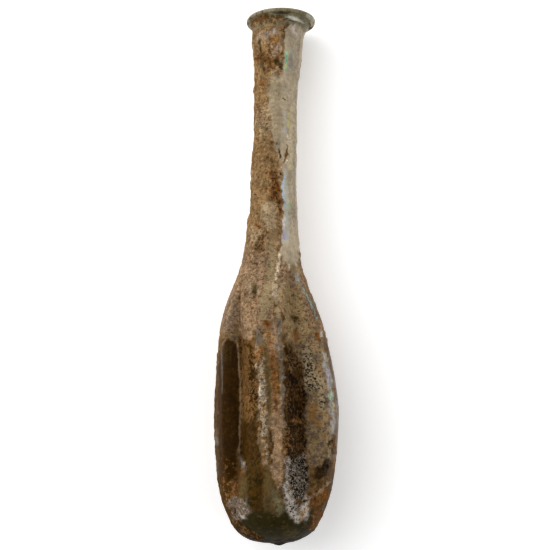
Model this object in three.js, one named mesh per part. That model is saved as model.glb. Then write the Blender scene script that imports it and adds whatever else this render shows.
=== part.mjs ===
// A blown glass perfume flask with five pressed flutes, lying on its side.
// Millimetres, +Z up. The flask's own axis runs along +Y from the foot to the mouth. It dips a
// little towards the mouth, because the flask lies on two of its ribs and on the edge of its lip.
// Angles are degrees round that axis, from straight up (0) towards +X (90).
import * as THREE from "three";

const { degToRad, lerp, smoothstep } = THREE.MathUtils;

// Outer outline up to the underside of the lip: [radius over the ribs, height above the foot].
const outline = [
  [0, 0], [2.5, 0.1], [5.2, 0.45], [8.1, 1.6], [10.5, 3.4], [12.2, 6.3], [13.9, 10.2],
  [15.2, 15], [16.1, 20.5], [16.7, 28], [16.9, 36.5], [16.1, 46], [14.7, 55.5], [12.7, 63.5],
  [10.6, 69.3], [8.75, 74.6], [7.85, 79], [7.35, 84], [6.65, 91], [6.25, 99], [6.1, 111],
  [6.1, 124], [6.4, 132], [7, 138.5], [7.4, 143.5], [7.7, 145.3], [8.3, 146.6], [9.3, 147.5],
];

// The lip: a thin turned-out flange with a round edge and a flat top.
const lipEdge = { radius: 0.78, centre: [9.1, 148.1] };
const lipFlatInner = 7.5;
const throat = [[6.75, 148.35], [6.1, 146.9]];

// Wall thickness, [height above the foot, thickness].
const wall = [[0, 3], [6, 2.2], [15, 1.6], [60, 1.5], [110, 1.5], [147, 1.7]];

// How far the hand-made axis strays sideways, [height, shift along +X].
const drift = [[0, 0], [35, 0.45], [69, -1.1], [97, -0.2], [120, 0.3], [142, 0.85], [150, 1.9]];

// The ribs left standing between the flutes: direction and half width in degrees.
const ribs = [
  { angle: -73, halfWidth: 13 },
  { angle: 0, halfWidth: 10, wander: true },
  { angle: 71, halfWidth: 15 },
  { angle: 144, halfWidth: 8 },
  { angle: 216, halfWidth: 8 },
];

// How the uppermost rib wanders round the body, [height, degrees].
const ribWander = [[0, 5], [12, 4], [24, 2], [38, -4], [54, -3], [62, 0], [70, 6], [78, 16]];

// Each flute, after the rib of the same number: the direction of its deepest line, its depth as
// a share of the radius, the heights it runs between, and how sharply it is creased (0 to 1).
const flutes = [
  { valley: -50, depth: 0.28, from: 7, to: 76, crease: 0.8 },
  { valley: 38, depth: 0.29, from: 5, to: 84, crease: 0.3 },
  { valley: 108, depth: 0.28, from: 7, to: 80, crease: 0.3 },
  { valley: 180, depth: 0.28, from: 7, to: 78, crease: 0.3 },
  { valley: 255, depth: 0.28, from: 7, to: 78, crease: 0.3 },
];
const fluteRun = { foot: 16, shoulder: 26 };
const fluteTipWidth = 0.35;

// The scar where the working rod broke off the foot.
const scar = { x: 1.1, z: -0.4, radius: 1.7, height: 0.75 };

// How much is worn flat where the glass meets the surface that it lies on.
const restWear = 0.3;

const columnsPerFlute = 10;
const outerRows = 38;
const lipRows = 4;
const innerRows = 26;
const innerTop = 0.87;

// A value from a table of [place, value], eased between its entries.
function along(table, place) {
  const last = table.length - 1;
  if (place <= table[0][0]) return table[0][1];
  if (place >= table[last][0]) return table[last][1];
  const i = table.findIndex((entry) => entry[0] > place) - 1;
  const share = smoothstep(place, table[i][0], table[i + 1][0]);
  return lerp(table[i][1], table[i + 1][1], share);
}

// The closed profile from the foot, up the outside, over the lip and down the inside.
function profile() {
  const curve = new THREE.SplineCurve(outline.map(([r, h]) => new THREE.Vector2(r, h)));
  const outside = curve.getPoints(outerRows);
  outside[0].x = 0;

  const [edgeR, edgeH] = lipEdge.centre;
  const turn = [degToRad(-50), degToRad(90)];
  const lip = new THREE.EllipseCurve(edgeR, edgeH, lipEdge.radius, lipEdge.radius, ...turn).getPoints(lipRows);
  lip.push(new THREE.Vector2(lipFlatInner, edgeH + lipEdge.radius));
  throat.forEach(([r, h]) => lip.push(new THREE.Vector2(r, h)));

  const inside = [];
  for (let i = innerRows; i >= 0; i--) {
    const share = (innerTop * i) / innerRows;
    const point = curve.getPoint(share);
    const tangent = curve.getTangent(share);
    const thickness = along(wall, point.y);
    inside.push(new THREE.Vector2(point.x - tangent.y * thickness, point.y + tangent.x * thickness));
  }
  inside[inside.length - 1].set(0, wall[0][1]);
  return [...outside, ...lip, ...inside];
}

// The direction of a rib at a height.
function ribAngle(i, height) {
  const rib = ribs[i % ribs.length];
  const turn = i < ribs.length ? 0 : 360;
  return rib.angle + turn + (rib.wander ? along(ribWander, height) : 0);
}

// A place round the flask, where 0 is the first rib and 1 the next, turned into its direction
// and into how far the flute there draws the wall in, as a share of the radius.
function fluteAt(place, height) {
  const i = Math.floor(place);
  const flute = flutes[i];
  const from = ribAngle(i, height);
  const to = ribAngle(i + 1, height);
  const low = from + ribs[i].halfWidth;
  const high = to - ribs[(i + 1) % ribs.length].halfWidth;
  const stops = [from, low, flute.valley, high, to];
  const shares = [0, 0.1, 0.5, 0.9, 1];
  const k = Math.max(shares.findIndex((share) => share > place - i) - 1, 0);
  const angle = lerp(stops[k], stops[k + 1], (place - i - shares[k]) / (shares[k + 1] - shares[k]));

  const rise = smoothstep(height, flute.from, flute.from + fluteRun.foot);
  const fall = 1 - smoothstep(height, flute.to - fluteRun.shoulder, flute.to);
  const width = lerp(fluteTipWidth, 1, rise * fall);
  const edge = angle < flute.valley ? low : high;
  const across = Math.min((angle - flute.valley) / (edge - flute.valley) / width, 1);
  const creased = Math.pow(1 - across, 1.5);
  const rounded = Math.pow(1 - across * across, 1.5);
  return { angle, depth: flute.depth * rise * fall * lerp(rounded, creased, flute.crease) };
}

// Turns the round lathed flask into the fluted one.
function shapeFlask(geometry) {
  const position = geometry.attributes.position;
  const rows = position.count / (ribs.length * columnsPerFlute + 1);
  for (let i = 0; i < position.count; i++) {
    const height = position.getY(i);
    const radius = Math.hypot(position.getX(i), position.getZ(i));
    const place = (Math.floor(i / rows) / columnsPerFlute) % ribs.length;
    const { angle, depth } = fluteAt(place, height);
    const drawn = radius * (1 - depth);
    const x = drawn * Math.sin(degToRad(angle));
    const z = drawn * Math.cos(degToRad(angle));
    const fromScar = Math.hypot(x - scar.x, z - scar.z) / scar.radius;
    const below = height < 1 ? scar.height * Math.exp(-fromScar * fromScar) : 0;
    position.setXYZ(i, x + along(drift, height), height - below, z);
  }
}

// The dip of the axis at which the body and the lip both touch a flat surface.
function lyingAngle(geometry) {
  const position = geometry.attributes.position;
  const points = [];
  for (let i = 0; i < position.count; i++) points.push([position.getY(i), position.getZ(i)]);
  const lipBottom = points.filter(([y]) => y > 147).reduce((a, b) => (b[1] < a[1] ? b : a));
  const slopes = points
    .filter(([y]) => y < 80)
    .map(([y, z]) => (z - lipBottom[1]) / (y - lipBottom[0]));
  return Math.atan(Math.max(...slopes));
}

// Lays the flask down, centres it over the origin and wears its lowest places flat.
function layDown(geometry) {
  geometry.rotateX(-lyingAngle(geometry));
  geometry.computeBoundingBox();
  const { min, max } = geometry.boundingBox;
  geometry.translate(-(min.x + max.x) / 2, -(min.y + max.y) / 2, -min.z - restWear);
  const position = geometry.attributes.position;
  for (let i = 0; i < position.count; i++) {
    if (position.getZ(i) < 0) position.setZ(i, 0);
  }
}

function makeFlask() {
  const geometry = new THREE.LatheGeometry(profile(), ribs.length * columnsPerFlute);
  shapeFlask(geometry);
  layDown(geometry);
  const glass = new THREE.MeshStandardMaterial({ color: 0x8f7d5c, roughness: 0.55, metalness: 0 });
  const flask = new THREE.Mesh(geometry, glass);
  flask.name = "flask";
  return flask;
}

const part = new THREE.Group();
part.add(makeFlask());

export default part;
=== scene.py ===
"""A blown glass perfume flask with five pressed flutes, lying on its side.

The glass is built from the same outline, ribs and flutes as the solid, finely enough to carry its
burial crust as real relief. Places on it are given in millimetres as (x, height): x to the right of
the flask's own axis as it lies with its mouth away, and height above the foot along that axis.
"""
import math

import bpy
import numpy as np
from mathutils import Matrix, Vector


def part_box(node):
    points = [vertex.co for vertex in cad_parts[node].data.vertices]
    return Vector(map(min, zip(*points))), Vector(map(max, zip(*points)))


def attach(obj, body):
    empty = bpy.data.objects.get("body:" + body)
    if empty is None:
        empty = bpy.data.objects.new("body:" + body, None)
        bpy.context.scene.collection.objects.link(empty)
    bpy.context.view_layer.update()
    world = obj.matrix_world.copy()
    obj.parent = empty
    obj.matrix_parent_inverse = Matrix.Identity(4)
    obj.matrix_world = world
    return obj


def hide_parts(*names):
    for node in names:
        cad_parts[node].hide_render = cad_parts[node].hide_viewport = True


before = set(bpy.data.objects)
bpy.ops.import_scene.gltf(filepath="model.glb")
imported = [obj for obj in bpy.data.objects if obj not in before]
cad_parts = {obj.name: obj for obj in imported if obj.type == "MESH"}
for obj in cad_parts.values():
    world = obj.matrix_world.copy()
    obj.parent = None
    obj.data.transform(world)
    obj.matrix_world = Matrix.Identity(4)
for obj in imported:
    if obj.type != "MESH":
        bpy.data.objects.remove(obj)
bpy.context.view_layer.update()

MM = 0.001

# ---------------------------------------------------------------------------------------------
# The form of the flask, in millimetres
# ---------------------------------------------------------------------------------------------

# Outer outline up to the underside of the lip: (radius over the ribs, height above the foot).
OUTLINE = [
    (0, 0), (2.5, 0.1), (5.2, 0.45), (8.1, 1.6), (10.5, 3.4), (12.2, 6.3), (13.9, 10.2),
    (15.2, 15), (16.1, 20.5), (16.7, 28), (16.9, 36.5), (16.1, 46), (14.7, 55.5), (12.7, 63.5),
    (10.6, 69.3), (8.75, 74.6), (7.85, 79), (7.35, 84), (6.65, 91), (6.25, 99), (6.1, 111),
    (6.1, 124), (6.4, 132), (7, 138.5), (7.4, 143.5), (7.7, 145.3), (8.3, 146.6), (9.3, 147.5),
]
LIP_EDGE_RADIUS = 0.78
LIP_EDGE_CENTRE = (9.1, 148.1)
LIP_FLAT_INNER = 7.5
THROAT = [(6.75, 148.35), (6.1, 146.9)]
WALL = [(0, 3), (6, 2.2), (15, 1.6), (60, 1.5), (110, 1.5), (147, 1.7)]
DRIFT = [(0, 0), (35, 0.45), (69, -1.1), (97, -0.2), (120, 0.3), (142, 0.85), (150, 1.9)]

# Ribs: direction round the axis from straight up, and half width, in degrees.
RIBS = [(-73, 13), (0, 10), (71, 15), (144, 8), (216, 8)]
WANDERING_RIB = 1
RIB_WANDER = [(0, 5), (12, 4), (24, 2), (38, -4), (54, -3), (62, 0), (70, 6), (78, 16)]

# Flutes: direction of the valley, depth as a share of the radius, lowest and highest height,
# and how sharply the valley is creased.
FLUTES = [
    (-50, 0.28, 7, 76, 0.8),
    (38, 0.29, 5, 84, 0.3),
    (108, 0.28, 7, 80, 0.3),
    (180, 0.28, 7, 78, 0.3),
    (255, 0.28, 7, 78, 0.3),
]
FLUTE_RUN_FOOT, FLUTE_RUN_SHOULDER, FLUTE_TIP_WIDTH = 16, 26, 0.35
SCAR_X, SCAR_Z, SCAR_RADIUS, SCAR_HEIGHT = 1.1, -0.4, 1.7, 0.75
REST_WEAR = 0.3

# How finely each part is meshed: rows along the flask and columns in each flute.
OUTER_ROWS, LIP_ROWS, INNER_ROWS, INNER_TOP = 424, 9, 24, 0.87
COLUMNS = (64, 64, 30, 24, 30)
OUTLINE_SAMPLES = 2400

# The flask lies on what is below the first height and above the second.
BODY_TOP, LIP_BOTTOM = 80, 147


def ease(x, low, high):
    t = np.clip((x - low) / (high - low), 0, 1)
    return t * t * (3 - 2 * t)


def mix(a, b, share):
    return a + (b - a) * share


def along(table, place):
    """A value from a table of (place, value), eased between its entries."""
    place = np.asarray(place, float)
    value = np.full(place.shape, float(table[0][1]))
    for (p0, v0), (p1, v1) in zip(table, table[1:]):
        value = np.where(place >= p0, mix(v0, v1, ease(place, p0, p1)), value)
    return value


def smooth_curve(points, share):
    """Places and unit tangents on a smooth curve through the points."""
    pts = np.array(points, float)
    last = len(pts) - 1
    at = last * np.asarray(share, float)
    i = np.minimum(np.floor(at).astype(int), last - 1)
    w = (at - i)[:, None]
    p0, p1 = pts[np.maximum(i - 1, 0)], pts[i]
    p2, p3 = pts[i + 1], pts[np.minimum(i + 2, last)]
    t1, t2 = (p2 - p0) / 2, (p3 - p1) / 2
    cubic, square = 2 * p1 - 2 * p2 + t1 + t2, -3 * p1 + 3 * p2 - 2 * t1 - t2
    place = cubic * w**3 + square * w**2 + t1 * w + p1
    tangent = 3 * cubic * w**2 + 2 * square * w + t1
    length = np.maximum(np.linalg.norm(tangent, axis=1), 1e-9)[:, None]
    return place, tangent / length


def outline_profile():
    """Closed profile rows (radius, height): up the outside, over the lip and down the inside."""
    outside, _ = smooth_curve(OUTLINE, np.linspace(0, 1, OUTLINE_SAMPLES))
    step = np.hypot(*np.diff(outside, axis=0).T)
    length = np.concatenate([[0], np.cumsum(step)])
    even = np.linspace(0, length[-1], OUTER_ROWS + 1)
    outside = np.stack([np.interp(even, length, outside[:, k]) for k in (0, 1)], 1)
    outside[0, 0] = 0
    turn = np.radians(np.linspace(-50, 90, LIP_ROWS + 1))
    centre = np.array(LIP_EDGE_CENTRE)
    lip = centre + LIP_EDGE_RADIUS * np.stack([np.cos(turn), np.sin(turn)], 1)
    flat = [(LIP_FLAT_INNER, LIP_EDGE_CENTRE[1] + LIP_EDGE_RADIUS)]
    share = INNER_TOP * np.arange(INNER_ROWS, -1, -1) / INNER_ROWS
    place, tangent = smooth_curve(OUTLINE, share)
    thick = along(WALL, place[:, 1])
    inside = place + np.stack([-tangent[:, 1], tangent[:, 0]], 1) * thick[:, None]
    inside[-1] = (0, WALL[0][1])
    return np.vstack([outside, lip, flat, THROAT, inside]), len(outside)


def rib_direction(i, height):
    angle = RIBS[i % len(RIBS)][0] + (360 if i >= len(RIBS) else 0)
    return angle + (along(RIB_WANDER, height) if i % len(RIBS) == WANDERING_RIB else 0 * height)


def fluted(place, height):
    """Direction in degrees and flute depth at a place round the flask (0 to 5) and a height."""
    place, height = np.broadcast_arrays(place, height)
    sector, share = np.floor(place).astype(int), place % 1
    direction, depth = np.zeros(place.shape), np.zeros(place.shape)
    for i, (valley, deep, low, high, crease) in enumerate(FLUTES):
        start, end = rib_direction(i, height), rib_direction(i + 1, height)
        near = start + RIBS[i][1]
        far = end - RIBS[(i + 1) % len(RIBS)][1]
        turned = np.select(
            [share < 0.1, share < 0.5, share < 0.9],
            [
                mix(start, near, share / 0.1),
                mix(near, valley, (share - 0.1) / 0.4),
                mix(valley, far, (share - 0.5) / 0.4),
            ],
            mix(far, end, (share - 0.9) / 0.1),
        )
        rise = ease(height, low, low + FLUTE_RUN_FOOT)
        fall = 1 - ease(height, high - FLUTE_RUN_SHOULDER, high)
        width = mix(FLUTE_TIP_WIDTH, 1, rise * fall)
        edge = np.where(share < 0.5, near, far)
        across = np.clip((turned - valley) / (edge - valley) / width, 0, 1)
        # A hair's breadth of rounding keeps the valley from being knife sharp.
        soft = np.sqrt(across**2 + 0.05**2) - 0.05 * (1 - across)
        creased, rounded = (1 - np.clip(soft, 0, 1)) ** 1.5, (1 - across**2) ** 1.5
        here = sector == i
        direction = np.where(here, turned, direction)
        depth = np.where(here, deep * rise * fall * mix(rounded, creased, crease), depth)
    return direction, depth


def flask_grid(profile):
    """Every vertex before laying down: an array of rows, columns and (x, height, z)."""
    place = np.concatenate([i + np.arange(n) / n for i, n in enumerate(COLUMNS)])[None, :]
    radius, height = profile[:, 0][:, None], profile[:, 1][:, None]
    direction, depth = fluted(place, height)
    drawn = radius * (1 - depth)
    x = drawn * np.sin(np.radians(direction))
    z = drawn * np.cos(np.radians(direction))
    height = height + 0 * x
    from_scar = np.hypot(x - SCAR_X, z - SCAR_Z) / SCAR_RADIUS
    below = np.where(height < 1, SCAR_HEIGHT * np.exp(-from_scar**2), 0)
    return np.stack([x, height, z], 2), np.stack([along(DRIFT, height), -below, 0 * x], 2)


def lay_down(points, reference):
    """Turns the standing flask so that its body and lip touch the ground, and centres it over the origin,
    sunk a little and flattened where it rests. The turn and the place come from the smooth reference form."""
    flat = reference.reshape(-1, 3)
    lip = flat[flat[:, 1] > LIP_BOTTOM]
    lip = lip[np.argmin(lip[:, 2])]
    body = flat[flat[:, 1] < BODY_TOP]
    dip = math.atan(((body[:, 2] - lip[2]) / (body[:, 1] - lip[1])).max())

    def turned(p):
        y = p[..., 1] * math.cos(dip) + p[..., 2] * math.sin(dip)
        z = -p[..., 1] * math.sin(dip) + p[..., 2] * math.cos(dip)
        return np.stack([p[..., 0], y, z], -1)

    low, high = turned(flat).min(0), turned(flat).max(0)
    centre = np.array([(low[0] + high[0]) / 2, (low[1] + high[1]) / 2, low[2] + REST_WEAR])
    laid = turned(points) - centre
    laid[..., 2] = np.maximum(laid[..., 2], 0)
    return laid


# ---------------------------------------------------------------------------------------------
# Chance: smooth noise that is the same each run
# ---------------------------------------------------------------------------------------------


def chance(cell, seed):
    """A number from 0 to 1 for each whole-numbered cell."""
    c = cell.astype(np.int64)
    h = c[..., 0] * 374761393 + c[..., 1] * 668265263 + c[..., 2] * 1442695041 + seed * 97561
    h = (h ^ (h >> 13)) * 1274126177 & 0xFFFFFFFF
    return ((h ^ (h >> 16)) & 0xFFFF) / 65535.0


def noise(p, size, seed):
    """Smooth noise with features of a size, from 0 to 1."""
    q = p / size
    cell = np.floor(q)
    f = q - cell
    f = f * f * (3 - 2 * f)
    total = 0
    for corner in np.ndindex(2, 2, 2):
        weight = np.prod(np.where(corner, f, 1 - f), axis=-1)
        total = total + weight * chance(cell + corner, seed)
    return total


def layered(p, size, seed, layers=3):
    """Noise over noise of half the size each time, from about 0 to 1."""
    total = sum(noise(p, size / 2**k, seed + k) / 2**k for k in range(layers))
    return total / sum(1 / 2**k for k in range(layers))


def nearest_grain(p, size, seed):
    """Distance to the nearest of some scattered grains, in units of their spacing."""
    q = p / size
    cell = np.floor(q)
    best = np.full(q.shape[:-1], 9.0)
    for step in np.ndindex(3, 3, 3):
        there = cell + np.array(step) - 1
        spot = there + np.stack([chance(there, seed + k) for k in range(3)], -1)
        best = np.minimum(best, np.linalg.norm(spot - q, axis=-1))
    return best


# ---------------------------------------------------------------------------------------------
# Tones, as linear red, green and blue
# ---------------------------------------------------------------------------------------------

TAN = (0.205, 0.138, 0.064)
TAN_SHOULDER = (0.272, 0.184, 0.110)
TAN_NECK = (0.250, 0.160, 0.077)
TAN_PALE = (0.341, 0.257, 0.158)
TAN_PINK = (0.236, 0.164, 0.105)
OCHRE = (0.158, 0.086, 0.030)
OCHRE_DARK = (0.072, 0.036, 0.006)
GLASS_DARK = (0.046, 0.019, 0.001)
GLASS_FOOT = (0.030, 0.022, 0.002)
GLASS_OLIVE = (0.094, 0.069, 0.029)
GLASS_GREY = (0.46, 0.38, 0.27)
STRIP_OLIVE = (0.112, 0.072, 0.028)
STRIP_PALE = (0.284, 0.214, 0.123)
CREAM = (0.255, 0.205, 0.140)
CREAM_BRIGHT = (0.54, 0.48, 0.40)
WHITE_CRUST = (0.381, 0.341, 0.299)
PINK_BAND = (0.294, 0.198, 0.117)
ORANGE = (0.203, 0.105, 0.039)
RUST = (0.164, 0.074, 0.021)
RUST_DEEP = (0.117, 0.039, 0.006)
LAVENDER = (0.12, 0.095, 0.078)
LAVENDER_PALE = (0.351, 0.315, 0.284)
BROWN_DARK = (0.038, 0.017, 0.003)
BLACK = (0.014, 0.006, 0.001)
GREY_PINK = (0.155, 0.112, 0.078)
GREY_SPOT = (0.155, 0.122, 0.085)
GREY_EDGE = (0.247, 0.220, 0.186)
TEAL = (0.181, 0.391, 0.289)
SHOULDER_OLIVE = (0.285, 0.205, 0.108)
OLIVE_BAND = (0.160, 0.136, 0.076)
NECK_PINK = (0.315, 0.225, 0.145)
MOTTLE_GREY = (0.155, 0.122, 0.088)
MOTTLE_BROWN = (0.110, 0.052, 0.013)
V_PALE = (0.56, 0.46, 0.32)
STAIN_ORANGE = (0.26, 0.145, 0.055)
LIP_PALE = (0.50, 0.48, 0.36)
# Painted highlight: a grey streak on the neck glass.
GREY_HIGHLIGHT_STREAK = (0.52, 0.48, 0.42)
TAN_GREY = (0.255, 0.178, 0.090)
TAN_LIGHT = (0.310, 0.240, 0.150)
NECK_SHADE = (0.37, 0.30, 0.20)
# Darker olive glass at the neck's right edge, partly painted shade where the neck turns away.
NECK_EDGE_OLIVE_SHADE = (0.36, 0.305, 0.21)
# Painted highlight: the bright streak down the neck glass.
NECK_HIGHLIGHT = (0.56, 0.47, 0.31)
PATCH_BROWN = (0.045, 0.026, 0.008)
FLUTE_GLINT = (0.115, 0.095, 0.070)
FLUTE_OLIVE = (0.060, 0.030, 0.003)
EDGE_TEAL = (0.030, 0.040, 0.036)
FILM_PALE = (0.50, 0.47, 0.40)
FILM_BLUE = (0.42, 0.50, 0.60)
FILM_WHITE = (0.66, 0.58, 0.55)
FILM_MAUVE = (0.42, 0.38, 0.46)
FILM_GREEN = (0.36, 0.50, 0.30)
FILM_YELLOW = (0.56, 0.50, 0.24)
LIP_GREEN = (0.28, 0.25, 0.155)
LIP_OLIVE = (0.27, 0.24, 0.15)
# Painted highlight on the underside of the lip.
LIP_HIGHLIGHT = (0.62, 0.60, 0.50)
LIP_BROWN = (0.117, 0.076, 0.033)

# ---------------------------------------------------------------------------------------------
# Finishes: what the surface is made of at a place
# ---------------------------------------------------------------------------------------------

CHANNELS = ("gloss", "clear", "cover", "speckle", "crumb", "film")


def finish(tone, gloss=0.0, clear=0.0, second=None, cover=0.0, speckle=0.2, crumb=0.0, film=0.0,
           raised=0.0):
    """A finish: its tone; how glossy and how clear the glass is; a second tone and how much of
    the first it covers in ragged patches; how thickly dark specks, pale crumbs and iridescent
    film lie on it; and how far it stands up, in millimetres."""
    return dict(tone=tone, second=second or tone, gloss=gloss, clear=clear, cover=cover,
                speckle=speckle, crumb=crumb, film=film, raised=raised)


def bare(tone, clear=0.5, **rest):
    """Glass with nothing on it, a little lower than the crust round it."""
    return finish(tone, clear=clear, **{"gloss": 1.0, "speckle": 0.0, "raised": -0.12, **rest})


def filmed(tone, **rest):
    """Bare glass under a film of one iridescent tone."""
    return bare(tone, clear=0.05, **rest)


def silted(tone, **rest):
    """Glass under a thin smooth skin that still shines a little."""
    return finish(tone, **{"gloss": 0.6, "raised": -0.05, **rest})


def crust(tone, **rest):
    """Dull burial crust that hides the glass."""
    return finish(tone, **rest)


def dabs(what, soft, *paths):
    """Strokes of one finish, laid in several places one after the other."""
    return [(what, soft, path) for path in paths]


DARK_GLASS = bare(GLASS_DARK, clear=0.10, gloss=0.6, second=OCHRE_DARK, cover=0.35, speckle=0.1)
FOOT_GLASS = bare(GLASS_FOOT, clear=0.12, second=GLASS_OLIVE, cover=0.25, speckle=0.1, gloss=0.6)
OLIVE_SKIN = silted(STRIP_OLIVE, second=GLASS_OLIVE, cover=0.35, speckle=0.1)
OCHRE_SKIN = silted(OCHRE, second=OCHRE_DARK, cover=0.5, speckle=0.4)
DARK_OCHRE_SKIN = silted(OCHRE_DARK, second=OCHRE, cover=0.3, speckle=0.5)
BROWN_FLECKED = silted(GLASS_DARK, second=OCHRE, cover=0.28, speckle=0.4)
GREY_TAN_SKIN = silted(TAN, second=GREY_PINK, cover=0.5, speckle=0.45)
ORANGE_CRUST = crust(ORANGE, second=RUST, cover=0.35, speckle=0.4)
RUSTY_CRUST = crust(RUST, second=ORANGE, cover=0.4, speckle=0.55)
PINK_CRUST = crust(PINK_BAND, second=ORANGE, cover=0.25, speckle=0.12, raised=0.05)
CREAM_CRUST = crust(CREAM, second=OCHRE, cover=0.42, speckle=0.4, crumb=0.5, raised=0.12)
BLACK_BLOTCH = crust(BLACK, second=MOTTLE_BROWN, cover=0.42, speckle=0.5, gloss=0.3)
BLACK_MOTTLED = crust(MOTTLE_GREY, second=BLACK, cover=0.57, speckle=0.8, crumb=0.6)
DARK_MOTTLED = crust(MOTTLE_BROWN, second=BLACK, cover=0.55, speckle=0.9, gloss=0.4)
GREY_CRUST = crust(GREY_PINK, second=GREY_EDGE, cover=0.35, speckle=0.65, crumb=0.45)
LAVENDER_SKIN = silted(GREY_SPOT, second=GREY_EDGE, cover=0.3, speckle=0.5)
NECK_GLASS = bare(GLASS_GREY, clear=0.12, second=STRIP_PALE, cover=0.15, gloss=0.85)
NECK_CRUST = crust(TAN_NECK, second=ORANGE, cover=0.22, speckle=0.38)
SPECK = crust(BLACK, speckle=0.0)
BROWN_SPECK = crust(BROWN_DARK, speckle=0.0)
CRUMB = crust(CREAM_BRIGHT, second=CREAM, cover=0.3, speckle=0.0, raised=0.15)
# Painted glints: small pale dots where light catches the surface.
PAINTED_GLINT = crust(CREAM_BRIGHT, speckle=0)
CREAM_FLAKE = crust(CREAM, second=TAN_PALE, cover=0.4, speckle=0.2, raised=0.1)
OCHRE_BLOTCH = crust(OCHRE_DARK, second=BROWN_DARK, cover=0.5)
OLIVE_BLOTCH = crust(GLASS_OLIVE, second=BROWN_DARK, cover=0.4)

LAYING_LEAN = math.radians(13.1)

# Strokes laid on the upper side, in order: finish, softness of the edge in millimetres, and the
# stroke's path as (x, height, half width).
FOOT_STROKES = [
    (FOOT_GLASS, 1.4, [(-8, 5, 3.4), (0, 5.2, 5.0), (9, 3.6, 3.0)]),
    (crust(BLACK, second=OCHRE_DARK, cover=0.3, speckle=0.5, gloss=0.5), 0.9,
     [(-11, 1.2, 1.3), (0, 0, 1.2), (9, 0.8, 1.1)]),
    (crust(BROWN_DARK, second=OCHRE, cover=0.45, speckle=0.6), 0.8, [(-9.4, 4.6, 1.4), (-4, 2, 1.0)]),
    (silted(GLASS_OLIVE, second=GLASS_FOOT, cover=0.5), 1.2, [(1.5, 4.8, 0.9), (5, 4.6, 0.8)]),
    (crust(OCHRE_DARK, second=ORANGE, cover=0.4, speckle=0.6), 1.0,
     [(-13.6, 17, 2.2), (-12.6, 9, 2.4), (-10.5, 6, 1.5)]),
    (ORANGE_CRUST, 0.6, [(-10.8, 16.6, 0.7), (-11.2, 13.4, 0.9)]),
    (GREY_CRUST, 0.9, [(-11, 11.4, 1.5), (-7.4, 11.6, 2.0), (-9.8, 8.4, 1.7)]),
    (SPECK, 0.3, [(-10.3, 10.3, 0.25), (-10.2, 8.4, 0.25)]),
    (crust(WHITE_CRUST), 0.25, [(-9.2, 9.4, 0.2), (-8.4, 7.8, 0.25)]),
    *dabs(crust(GREY_EDGE), 0.25,
          [(-9.4, 13.4, 0.2), (-10.8, 12.8, 0.2)], [(-7, 12.4, 0.2), (-5.9, 11, 0.2)]),
    (silted(OCHRE_DARK, second=GLASS_FOOT, cover=0.45, speckle=0.35, crumb=0.1), 1.0,
     [(-6.6, 27, 2.4), (-6, 20, 2.4), (-5.2, 12, 1.8)]),
    (BROWN_FLECKED, 1.2, [(-13, 27, 3.0), (-13, 20.5, 2.6)]),
    (OLIVE_SKIN, 0.5, [(-8.4, 18.4, 0.9), (-8.4, 14, 0.9)]),
    (silted(GREY_EDGE, second=GREY_SPOT, cover=0.4, speckle=0.1, gloss=0.4), 0.4,
     [(-8.9, 25.4, 0.5), (-8.7, 21.6, 0.7)]),
    (OLIVE_SKIN, 0.7, [(-2.6, 22, 0.6), (-1.9, 18, 1.2), (-1.0, 14, 1.9), (-0.4, 11, 2.3)]),
    (silted(OLIVE_BAND, second=STRIP_OLIVE, cover=0.4, speckle=0.1), 1.2,
     [(-0.6, 16.4, 0.4), (0.4, 13.6, 1.0), (1.0, 10.4, 1.1)]),
    (FOOT_GLASS, 1.6, [(-1, 8.2, 1.8), (0, 6, 3.4)]),
    (silted(TAN_LIGHT, second=GREY_PINK, cover=0.42, speckle=0.35), 1.0,
     [(11.6, 31, 3.0), (12.2, 24, 2.6)]),
    (bare(PATCH_BROWN, clear=0.15, second=BROWN_DARK, cover=0.5, speckle=0.6), 0.6,
     [(11.8, 24.2, 0.9), (12.8, 21.6, 2.0), (11.4, 18.6, 1.0)]),
    *dabs(SPECK, 0.3, [(15, 28.6, 0.3), (14, 27, 0.4)], [(13.6, 26, 0.35), (12.5, 24.6, 0.3)]),
    (SPECK, 0.4, [(12.0, 22.2, 0.35), (13.4, 21.2, 0.4), (14.2, 21, 0.3)]),
    (crust(TAN_PINK), 0.3, [(15.2, 23.8, 0.3), (15.3, 23, 0.3)]),
    (crust(TAN_PINK, second=ORANGE, cover=0.4, speckle=0.3, raised=0.1), 0.4,
     [(10.0, 13.6, 0.5), (12.4, 15, 0.5), (14.8, 17.4, 0.5)]),
    (RUSTY_CRUST, 0.8, [(10.8, 12.2, 1.5), (13.6, 13, 1.7)]),
    (crust(RUST, second=CREAM, cover=0.3, speckle=0.6), 0.8, [(11.6, 8.6, 1.5), (10.6, 5, 1.6)]),
    (silted(EDGE_TEAL, speckle=0.2), 0.3, [(16.4, 21, 0.3), (15.3, 14.5, 0.35), (13.9, 10, 0.4)]),
    (BLACK_MOTTLED, 0.9, [(5.2, 24.5, 2.6), (6.0, 19, 2.9), (6.6, 15, 2.2)]),
    (crust(GREY_PINK, second=WHITE_CRUST, cover=0.5, speckle=0.85, crumb=0.6), 0.7,
     [(2.9, 25, 0.5), (2.9, 18, 0.8)]),
    (crust(WHITE_CRUST, second=BLACK, cover=0.35, speckle=0.7, crumb=0.9), 1.2,
     [(2.4, 17.4, 0.6), (3.6, 13.4, 1.3), (4.6, 10, 1.4), (5.8, 7.6, 0.9)]),
    (crust(TAN_PINK, second=WHITE_CRUST, cover=0.45, speckle=0.4), 0.7,
     [(8.2, 13.2, 1.0), (7.8, 11.6, 1.2)]),
    (crust(WHITE_CRUST, second=PINK_BAND, cover=0.5, speckle=0.3, crumb=0.5, raised=0.1), 1.1,
     [(7.8, 10.6, 1.4), (7.7, 8.2, 1.2)]),
    (SPECK, 0.3, [(7.7, 12.2, 0.35), (7.8, 11.9, 0.35)]),
    (PINK_CRUST, 0.35, [(0.1, 29, 1.5), (0.3, 21, 1.6), (0.6, 18.4, 0.9), (0.8, 16, 0.3)]),
]

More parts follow.
